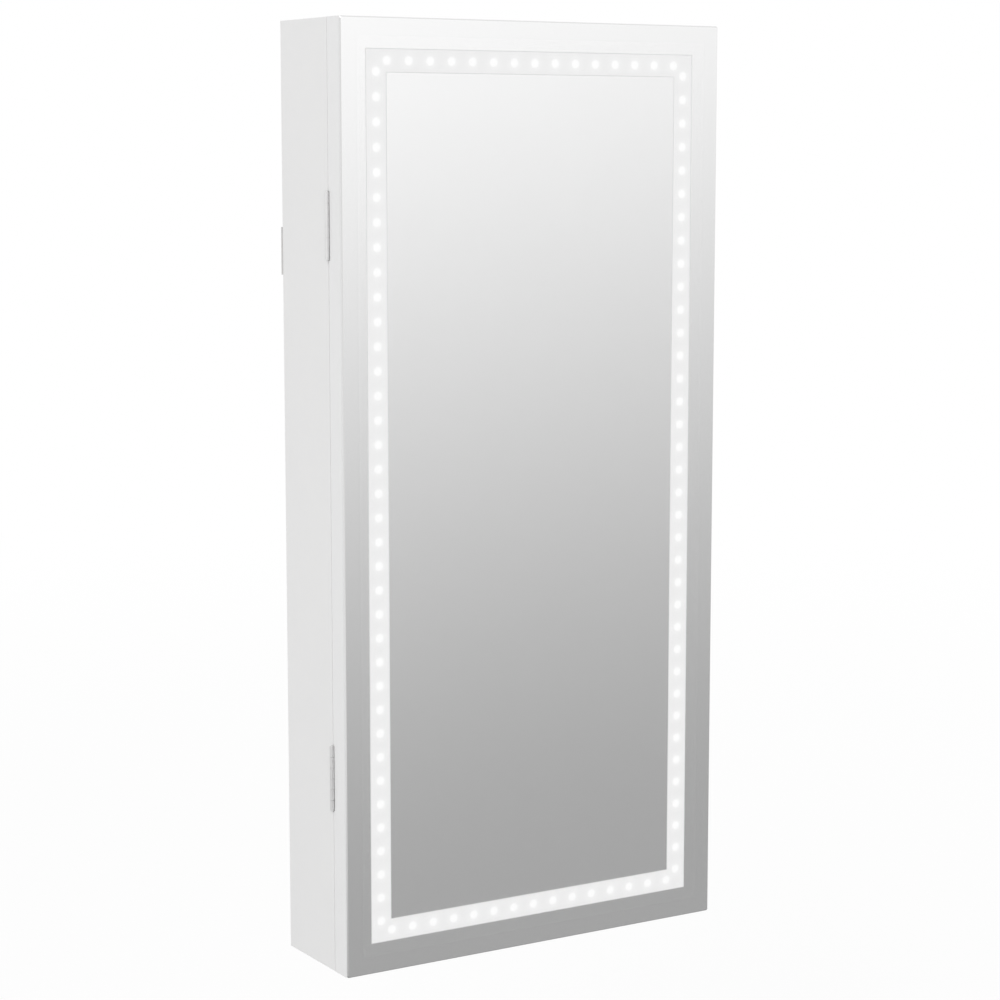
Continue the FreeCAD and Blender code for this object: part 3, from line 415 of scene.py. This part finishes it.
def fasten(node, body, finish, to_wall, radius, head, dome, shank):
    """Detailed screws in place of a CAD node's plain ones, with heads to the wall or the front."""
    heads, length = [], 0
    for low, high in solids_of(node):
        seat = high.y - head if to_wall else low.y + head
        heads.append(((low.x + high.x) / 2, seat, (low.z + high.z) / 2))
        length = high.y - low.y - head
    sizes = {"Head Radius": radius, "Head Height": head, "Dome": dome, "Shank Radius": shank}
    sizes.update({"Shank Length": length, "Tilt": -math.pi / 2 if to_wall else math.pi / 2})
    piece = screw_pattern.make(node + "_recessed", spots(heads), finish, sizes)
    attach(piece, body)
    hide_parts(node)


ROUND_HEAD = {"radius": 0.003, "head": 0.00155, "dome": 0.9, "shank": 0.00148}
screw_pattern = screws()
zinc = zinc_plate()
zinc.cover("hanger_plates", "shelf_pins", "bracelet_sockets", "strike_plates")
fasten("hanger_screws", "cabinet", zinc, True, **ROUND_HEAD)
fasten("rail_screws", "cabinet", zinc, True, **ROUND_HEAD)


# ---------------------------------------------------------------- hinges
# Two butt hinges of nickel plated steel: leaves 0.9 mm thick let into the board edges, six rolled
# knuckles and a pin. The knuckles stand just outside the left side, so the door opens to the left.
def nickel_plate():
    finish = Finish("hinge_steel")
    drawn = finish.mottle(2400, 2, (1, 1, 18))
    worn = finish.mottle(90, 2)
    finish.shade({
        "Base Color": finish.mix(worn, grey(0.80), grey(0.86, 0.005)),
        "Metallic": 1.0,
        "Roughness": 0.3 + 0.16 * drawn,
        "Normal": finish.relief(drawn, 0.00002),
    })
    return finish


COUNTERSUNK = {"radius": 0.0021, "head": 0.00042, "dome": 0.35, "shank": 0.00098}
nickel = nickel_plate()
nickel.cover(
    "cabinet_hinge_leaf_upper", "cabinet_hinge_leaf_lower", "door_hinge_leaf_upper",
    "door_hinge_leaf_lower", "hinge_pin_upper", "hinge_pin_lower",
)
fasten("cabinet_hinge_screws", "cabinet", nickel, False, **COUNTERSUNK)
fasten("door_hinge_screws", "door", nickel, True, **COUNTERSUNK)


# ---------------------------------------------------------------- door core
# The door's 15 mm board, sprayed white like the sides, carries the pane. A channel for the light
# tapes is routed in its face, behind the frosted band.
def door_paint():
    finish = Finish("door_board")
    cloud = finish.mottle(40)
    peel = finish.mottle(1500)
    finish.shade({
        "Base Color": finish.mix(cloud, grey(0.80, 0.0), grey(0.82, 0.0)),
        "Roughness": 0.36 + 0.08 * cloud,
        "Normal": finish.relief(peel, 0.00002),
    })
    return finish


door_paint().cover("door_core")


# ---------------------------------------------------------------- mirror pane
# One sheet of 3 mm float glass over the whole door, with ground edges and a polished arris. Seen
# flat on, the glass is almost invisible. Its margin turns the light back as the silver does, since
# real glass bends the light and the silver's own edge never shows.
BRIGHT_MARGIN = 0.0125
FLAT_SLOPE, GROUND_SLOPE = 0.95, 0.3


def inset(finish, node):
    """How far a place on the door's face is inside the outline of a CAD node."""
    low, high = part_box(node)
    middle = (low + high) / 2
    from_side = (high.x - low.x) / 2 - abs(finish.across - middle.x)
    return from_side.least((high.z - low.z) / 2 - abs(finish.up - middle.z))


def float_glass():
    finish = Finish("clear_glass")
    slope = abs(finish.facing[1])
    flat = slope > FLAT_SLOPE
    ground = slope < GROUND_SLOPE
    arris = 1 - flat - ground
    outside = 1 - finish.add("ShaderNodeNewGeometry", output="Backfacing")
    front = outside * (finish.facing[1] < -FLAT_SLOPE)
    margin = front * (inset(finish, "mirror_glass") < BRIGHT_MARGIN)
    grind = finish.mottle(1800, 2, (4, 1, 4))
    polished = finish.mix(arris, grey(0.92), grey(0.72))
    finish.shade({
        "Base Color": finish.mix(ground, polished, grey(0.79)),
        "Alpha": 1 - 0.97 * (flat - margin),
        "Metallic": 0.944 * (arris + margin),
        "Roughness": 0.015 + 0.06 * arris + 0.35 * ground + 0.1 * grind * ground,
        "Normal": finish.relief(grind * ground, 0.00004),
    })
    return finish


float_glass().cover("mirror_glass")


# ---------------------------------------------------------------- silvering
# The pane's back is silvered inside and outside the band and sealed with paint. The silver stops
# 1.5 mm short of the pane's edge.
def silvering():
    finish = Finish("silver")
    haze = finish.mottle(14, 3)
    finish.shade({
        "Base Color": finish.mix(haze, grey(0.955), grey(0.965)),
        "Metallic": 1.0,
        "Roughness": 0.01 + 0.01 * haze,
    })
    return finish


silvering().cover("silver_coat")


# ---------------------------------------------------------------- frosted band and its lights
# A sandblasted band 16 mm wide in the silvering, with a fine line of painted shade along each edge
# where it meets the silver. Behind it, chips on tape at a pitch of 16.667 mm show as soft round
# dots, and the band glows a little.
LIGHT_PITCH, BAND_WIDTH, BAND_EDGE_SHADE = 0.016667, 0.016, 0.0005
DOT_CORE, DOT_EDGE = 0.0023, 0.0038
SAME_ROW = 0.001


def dots(finish):
    """The distance to the nearest chip of the four rows, from the lattice of each row."""
    chips = solids_of("led_chips")
    centres = [(low + high) / 2 for low, high in chips]
    column, row = max(c.x for c in centres), max(c.z for c in centres)
    middle = (row + min(c.z for c in centres)) / 2
    upright = [c.z for c in centres if abs(c.x - column) < SAME_ROW]
    level = [c.x for c in centres if abs(c.z - row) < SAME_ROW]
    from_middle = finish.up - middle
    found = None
    for near, far, places in (
        (abs(finish.across) - column, from_middle, [z - middle for z in upright]),
        (abs(from_middle) - (row - middle), finish.across, level),
    ):
        start, reach = min(places), max(places)
        inside = far.most(start).least(reach)
        step = (inside - start + LIGHT_PITCH / 2) % LIGHT_PITCH - LIGHT_PITCH / 2
        along = step + (far - inside)
        away = (near * near + along * along) ** 0.5
        found = away if found is None else found.least(away)
    return found


def frosted_glass():
    finish = Finish("frosted")
    away = dots(finish)
    core = 1 - finish.fade(away, DOT_CORE, DOT_EDGE)
    halo = 1 - finish.fade(away, DOT_CORE, LIGHT_PITCH / 2)
    across = abs(inset(finish, "frosted_band") - BAND_WIDTH / 2)
    # line marks a thin painted shade along each edge of the band, darker in both its colour and its
    # glow.
    line = across > BAND_WIDTH / 2 - BAND_EDGE_SHADE
    blasted = finish.mottle(3000, 2)
    ground = finish.mix(line, finish.mix(blasted, grey(0.60), grey(0.64)), grey(0.50))
    glow = finish.mix(line, finish.mix(halo, grey(0.24), grey(0.27)), grey(0.18))
    finish.shade({
        "Base Color": finish.mix(core, ground, grey(0.30)),
        "Roughness": 0.65 + 0.1 * blasted,
        "Normal": finish.relief(blasted, 0.00002),
        "Emission Color": finish.mix(core, glow, grey(0.68)),
        "Emission Strength": 1.0,
    })
    return finish


frosted_glass().cover("frosted_band")


# ---------------------------------------------------------------- light tapes, chips and lead
# White flexible circuits with printed copper showing faintly, small white chips with a yellow drop
# of phosphor, and a white sheathed lead through the core.
def tape():
    finish = Finish("light_tape")
    track = finish.fade(finish.mottle(700, 1, (1, 1, 3)), 0.52, 0.56)
    finish.shade({
        "Base Color": finish.mix(track, grey(0.78, 0.01), (0.74, 0.70, 0.60, 1)),
        "Roughness": 0.45 + 0.1 * track,
        "Normal": finish.relief(track, 0.00003),
    })
    return finish


def chip():
    finish = Finish("light_chip")
    glow = finish.mottle(900, 1)
    finish.shade({
        "Base Color": finish.mix(glow, (0.9, 0.86, 0.6, 1), (0.95, 0.93, 0.8, 1)),
        "Roughness": 0.25 + 0.1 * glow,
        "Emission Color": (1.0, 0.97, 0.9, 1),
        "Emission Strength": 1.0,
    })
    return finish


def sheath():
    finish = Finish("lead_sheath")
    worn = finish.mottle(400)
    finish.shade({
        "Base Color": finish.mix(worn, grey(0.7), grey(0.76)),
        "Roughness": 0.4 + 0.1 * worn,
    })
    return finish


tape().cover("led_tapes")
chip().cover("led_chips")
sheath().cover("led_lead")


# ---------------------------------------------------------------- catches and bumpers
# Two disc magnets pressed into the free side pull steel strikes on the door, each held by one small
# screw. Clear soft dots keep the door off the carcass.
def magnet_plate():
    finish = Finish("magnet")
    polish = finish.mottle(500, 2)
    finish.shade({
        "Base Color": finish.mix(polish, grey(0.62, 0.03), grey(0.70, 0.02)),
        "Metallic": 1.0,
        "Roughness": 0.14 + 0.1 * polish,
    })
    return finish


def soft_dot():
    finish = Finish("bumper_rubber")
    cloud = finish.mottle(800, 1)
    finish.shade({
        "Base Color": finish.mix(cloud, grey(0.74), grey(0.8)),
        "Roughness": 0.3 + 0.15 * cloud,
        "Alpha": 0.75,
    })
    return finish


magnet_plate().cover("catch_magnets")
soft_dot().cover("door_bumpers")
fasten("strike_screws", "door", zinc, True, **COUNTERSUNK)


# ---------------------------------------------------------------- earring strips and shelf lips
# Strips and lips of clear acrylic, cut by laser. Their edges carry a painted highlight, and their
# faces a faint grey that is a painted reflection of the room. Turned acrylic spacers and round head
# screws hold the strips off the door.
def acrylic():
    finish = Finish("clear_acrylic")
    # The cut edges, which get a painted highlight: near white, and more opaque than the faces.
    edge = abs(finish.facing[1]) < 0.9
    scuff = finish.mottle(60, 4)
    finish.shade({
        # Painted light: the faces' faint grey is a painted reflection, and the edges' near white is
        # a painted highlight.
        "Base Color": finish.mix(edge, grey(0.2), grey(0.9, -0.01)),
        "Alpha": 0.2 + 0.5 * edge,
        "Roughness": 0.03 + 0.05 * scuff,
    })
    return finish


clear = acrylic()
clear.cover(
    "earring_strip_1", "earring_strip_2", "earring_strip_3", "earring_strip_4",
    "earring_spacers", "shelf_lips",
)
fasten("earring_screws", "door", zinc, True, **ROUND_HEAD)


# ---------------------------------------------------------------- battery case and switch
# A moulded case for four cells with a sliding cover, and a slide switch beside it. The mouldings
# have a fine spark texture, the cells plain sleeves between bare steel ends.
SHORTEST_CELL, BARE_END = 0.03, 0.0016
RING_START, RING_END = 0.009, 0.013


def moulding():
    finish = Finish("case_plastic")
    spark = finish.mottle(2200, 3)
    finish.shade({
        "Base Color": finish.mix(spark, grey(0.66, 0.005), grey(0.71, 0.005)),
        "Roughness": 0.42 + 0.12 * spark,
        "Normal": finish.relief(spark, 0.00004),
    })
    return finish


def slider_moulding():
    finish = Finish("slider_plastic")
    rub = finish.mottle(600)
    finish.shade({
        "Base Color": finish.mix(rub, grey(0.018), grey(0.03)),
        "Roughness": 0.28 + 0.15 * rub,
    })
    return finish


def contact_strip():
    finish = Finish("contact_metal")
    rolled = finish.mottle(900, 2, (1, 1, 10))
    finish.shade({
        "Base Color": finish.mix(rolled, grey(0.64, 0.04), grey(0.72, 0.03)),
        "Metallic": 1.0,
        "Roughness": 0.2 + 0.12 * rolled,
    })
    return finish


def cell_sleeve():
    """Each cell has a pale ring near its plus end, and every second cell is turned round."""
    finish = Finish("cell_jacket")
    low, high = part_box("battery_cells")
    cells = [one for one in solids_of("battery_cells") if (one[1] - one[0]).x > SHORTEST_CELL]
    pitch = (high.z - low.z) / len(cells)
    turned = ((finish.up - low.z) / pitch) % 2 > 1
    along = (finish.across - (low.x + high.x) / 2) * (1 - 2 * turned)
    from_plus = (high.x - low.x) / 2 - along
    bare = (high.x - low.x) / 2 - abs(along) < BARE_END
    ring = (from_plus > RING_START) * (from_plus < RING_END)
    sleeve = finish.mix(ring, (0.035, 0.06, 0.11, 1), grey(0.55))
    finish.shade({
        "Base Color": finish.mix(bare, sleeve, grey(0.6, 0.02)),
        "Metallic": bare,
        "Roughness": 0.3 + 0.1 * finish.mottle(300),
    })
    return finish


moulding().cover("battery_case", "battery_cover", "switch_body")
slider_moulding().cover("switch_slider")
contact_strip().cover("battery_contacts")
cell_sleeve().cover("battery_cells")


# ---------------------------------------------------------------- necklace pegs
# Nine pegs turned from rod, bright plated and pressed into the white rail. A wider head at the
# free end keeps the chains on.
def bright_plate():
    finish = Finish("peg_metal")
    turned = finish.mottle(1500, 2, (1, 10, 1))
    finish.shade({
        "Base Color": finish.mix(turned, grey(0.72, 0.01), grey(0.8)),
        "Metallic": 1.0,
        "Roughness": 0.1 + 0.08 * turned,
    })
    return finish


bright_plate().cover("necklace_pegs")


# ---------------------------------------------------------------- ring rolls and bracelet bar
# Five soft foam rolls sewn into velvet sleeves, stacked against the back so that rings push in
# between them, and a firmer velvet roll on a bar for bracelets. The ends are gathered.
ROLL_PUFF, PRESSURE, PUFF_FRAMES = 0.0004, 4.0, 16
SLEEVE_RINGS, SLEEVE_SIDES = 96, 40
ROUNDED, GATHERED = 0.45, 0.5
PLEATS, PLEAT_DEPTH, GATHER_DEPTH = 10, 0.035, 0.1
DENT_DEPTH, DENT_SCALE = 0.00022, 60
END_RINGS = ((0.6, 0.0002), (0.25, 0.0009))


def sleeve_mesh(name, low, high, slack, seed):
    """A velvet sleeve from one end of a box to the other along X, a little smaller than the box."""
    radius = (high.z - low.z) / 2 - slack
    centre = (low + high) / 2
    half = (high.x - low.x) / 2 - slack
    round_off = radius * ROUNDED
    form = bmesh.new()

    def corner(x, reach, angle):
        return form.verts.new((
            centre.x + x, centre.y + reach * math.cos(angle), centre.z + reach * math.sin(angle),
        ))

    loops = []
    for ring in range(SLEEVE_RINGS + 1):
        x = half * (2 * ring / SLEEVE_RINGS - 1)
        end = min(1.0, max(0.0, abs(x) - (half - round_off)) / round_off)
        girth = radius * max(math.sqrt(1 - end**2), GATHERED)
        loop = []
        for spoke in range(SLEEVE_SIDES):
            angle = math.tau * spoke / SLEEVE_SIDES
            place = (x * DENT_SCALE + seed * 9, math.cos(angle) * 2, math.sin(angle) * 2)
            dent = DENT_DEPTH * noise.noise(Vector(place))
            pleat = 1 + PLEAT_DEPTH * end * math.sin(PLEATS * angle)
            loop.append(corner(x, girth * pleat + dent * (1 - end), angle))
        loops.append(loop)
    for one, other in zip(loops, loops[1:]):
        for spoke in range(SLEEVE_SIDES):
            after = (spoke + 1) % SLEEVE_SIDES
            form.faces.new((one[spoke], other[spoke], other[after], one[after]))
    for loop, sign in ((loops[0], -1), (loops[-1], 1)):
        for share, sink in END_RINGS:
            inner = []
            for spoke in range(SLEEVE_SIDES):
                angle = math.tau * spoke / SLEEVE_SIDES
                pleat = 1 + GATHER_DEPTH * math.sin(PLEATS * angle) * (1 - share)
                inner.append(corner(sign * (half - sink), radius * GATHERED * share * pleat, angle))
            for spoke in range(SLEEVE_SIDES):
                after = (spoke + 1) % SLEEVE_SIDES
                form.faces.new((loop[spoke], loop[after], inner[after], inner[spoke]))
            loop = inner
        form.faces.new(loop)
    bmesh.ops.recalc_face_normals(form, faces=form.faces)
    for face in form.faces:
        face.smooth = True
    mesh = bpy.data.meshes.new(name)
    form.to_mesh(mesh)
    form.free()
    return mesh


def puff(piece, reach):
    """Blows the sleeve up as cloth for a moment, and keeps each point within its reach."""
    before = [corner.co.copy() for corner in piece.data.vertices]
    cloth = piece.modifiers.new("puff", "CLOTH")
    cloth.settings.use_pressure = True
    cloth.settings.uniform_pressure_force = PRESSURE
    cloth.settings.effector_weights.gravity = 0
    scene = bpy.context.scene
    for number in range(1, PUFF_FRAMES + 1):
        scene.frame_set(number)
    graph = bpy.context.evaluated_depsgraph_get()
    blown = piece.evaluated_get(graph).to_mesh()
    after = [corner.co.copy() for corner in blown.vertices]
    piece.evaluated_get(graph).to_mesh_clear()
    piece.modifiers.remove(cloth)
    scene.frame_set(1)
    for corner, start, end in zip(piece.data.vertices, before, after):
        move = end - start
        if move.length > reach:
            move = move * (reach / move.length)
        corner.co = start + move


def velvet_sleeve(name, low, high, seed, finish, node, fill):
    piece = bpy.data.objects.new(name, sleeve_mesh(name, low, high, ROLL_PUFF, seed))
    bpy.context.scene.collection.objects.link(piece)
    puff(piece, ROLL_PUFF * 0.8)
    piece.data.materials.append(finish.material)
    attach(piece, "cabinet")
    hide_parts(node)


roll_velvet = charcoal_velvet("velvet_rolls")
for number, (low, high) in enumerate(solids_of("ring_rolls"), start=1):
    velvet_sleeve(f"ring_roll_{number}", low, high, number, roll_velvet, "ring_rolls", 0.8)
bar_velvet = charcoal_velvet("velvet_bar")
velvet_sleeve("bracelet_roll", *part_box("bracelet_bar"), 11, bar_velvet, "bracelet_bar", 0.95)


# ---------------------------------------------------------------- floor, light and camera
# A plain pale studio: a wide floor well below the hanging cabinet, an even sky and two soft lamps.
# In mirrors the sky falls from white above to grey below, and is white far to the sides.
FLOOR_DROP, FLOOR_REACH = 0.3, 30.0
SHADOW_SHARE, SHADOW_NEAR, SHADOW_FAR = 0.2, 0.8, 4.0
CAMERA_PLACE = (-0.9580, -1.6043, 0.0759)
CAMERA_YAW, CAMERA_PITCH, CAMERA_LENS = 31.481, 7.878, 92.45
SKY_LOW, SKY_HIGH = 0.365, 1.075
RISE_START, RISE_END = -0.475, -0.045
RIGHT_LEAN, RIGHT_FROM, AHEAD_DROP = 0.33, 0.4, 0.16
LAMP_SIZE = 2.6


def studio_floor():
    level = cad_box[0][2] - FLOOR_DROP
    corners = [(x, y, level) for x, y in (
        (-FLOOR_REACH, -FLOOR_REACH), (FLOOR_REACH, -FLOOR_REACH),
        (FLOOR_REACH, FLOOR_REACH), (-FLOOR_REACH, FLOOR_REACH),
    )]
    mesh = bpy.data.meshes.new("studio_floor")
    mesh.from_pydata(corners, [], [(0, 1, 2, 3)])
    floor = bpy.data.objects.new("studio_floor", mesh)
    bpy.context.scene.collection.objects.link(floor)
    floor.visible_glossy = False
    material = bpy.data.materials.new("studio_floor")
    material.use_nodes = True
    paint = Graph(material.node_tree)
    across, along, _ = paint.axes(paint.add("ShaderNodeTexCoord", output="Object"))
    far = paint.fade((across * across + along * along) ** 0.5, SHADOW_NEAR, SHADOW_FAR)
    seen = paint.add("ShaderNodeLightPath", output="Is Camera Ray")
    plain = paint.add("ShaderNodeBsdfDiffuse", values={"Color": grey(0.97)})
    pale = paint.add("ShaderNodeEmission", values={"Color": grey(1.0), "Strength": 1.0})
    white = seen * (1 - SHADOW_SHARE + SHADOW_SHARE * far)
    shown = paint.add("ShaderNodeMixShader", values={0: white, 1: plain, 2: pale})
    paint.feed(paint.tree.nodes["Material Output"], {"Surface": shown})
    mesh.materials.append(material)


def studio_sky():
    """White behind the object, an even light on it, and a soft fall to grey in mirrors."""
    world = bpy.data.worlds.new("studio_sky")
    bpy.context.scene.world = world
    world.use_nodes = True
    sky = Graph(world.node_tree)
    across, _, up = sky.axes(sky.add("ShaderNodeTexCoord", output="Generated"))
    ahead = 1 - sky.fade(across, 0.15, 0.42)
    height = up - RIGHT_LEAN * across.most(RIGHT_FROM) - AHEAD_DROP * ahead
    rise = sky.fade(height, RISE_START, RISE_END)
    right = sky.fade(across, 0.68, 0.85)
    left = 0.88 * (1 - sky.fade(across, -0.5, -0.28)) * sky.fade(up, -0.4, -0.2)
    level = SKY_LOW + (SKY_HIGH - SKY_LOW) * rise.most(right).most(left)
    mirrored = sky.add("ShaderNodeBackground", values={
        "Color": sky.add("ShaderNodeCombineColor", values={0: level, 1: level, 2: level}),
        "Strength": 1.0,
    })
    even = sky.add("ShaderNodeBackground", values={"Color": grey(0.82), "Strength": 1.0})
    behind = sky.add("ShaderNodeBackground", values={"Color": grey(1.0), "Strength": 1.0})
    glossy = sky.add("ShaderNodeLightPath", output="Is Glossy Ray")
    seen = sky.add("ShaderNodeLightPath", output="Is Camera Ray")
    lit = sky.add("ShaderNodeMixShader", values={0: glossy, 1: even, 2: mirrored})
    shown = sky.add("ShaderNodeMixShader", values={0: seen, 1: lit, 2: behind})
    sky.feed(sky.tree.nodes["World Output"], {"Surface": shown})


def soft_lamp(name, place, power):
    lamp = bpy.data.lights.new(name, "AREA")
    lamp.shape = "DISK"
    lamp.size = LAMP_SIZE
    lamp.energy = power
    holder = bpy.data.objects.new(name, lamp)
    holder.location = place
    holder.rotation_euler = (-Vector(place)).to_track_quat("-Z", "Y").to_euler()
    bpy.context.scene.collection.objects.link(holder)


def stand_camera():
    camera = bpy.data.cameras.new("camera")
    camera.lens = CAMERA_LENS
    camera.clip_end = 200
    holder = bpy.data.objects.new("camera", camera)
    holder.location = CAMERA_PLACE
    holder.rotation_euler = (math.radians(90 - CAMERA_PITCH), 0, math.radians(-CAMERA_YAW))
    bpy.context.scene.collection.objects.link(holder)
    bpy.context.scene.camera = holder


studio_floor()
studio_sky()
soft_lamp("key_lamp", (-3.2, -2.6, 3.6), 52)
soft_lamp("fill_lamp", (4.0, -2.4, 3.0), 36)
stand_camera()
bpy.context.scene.view_settings.view_transform = "Standard"
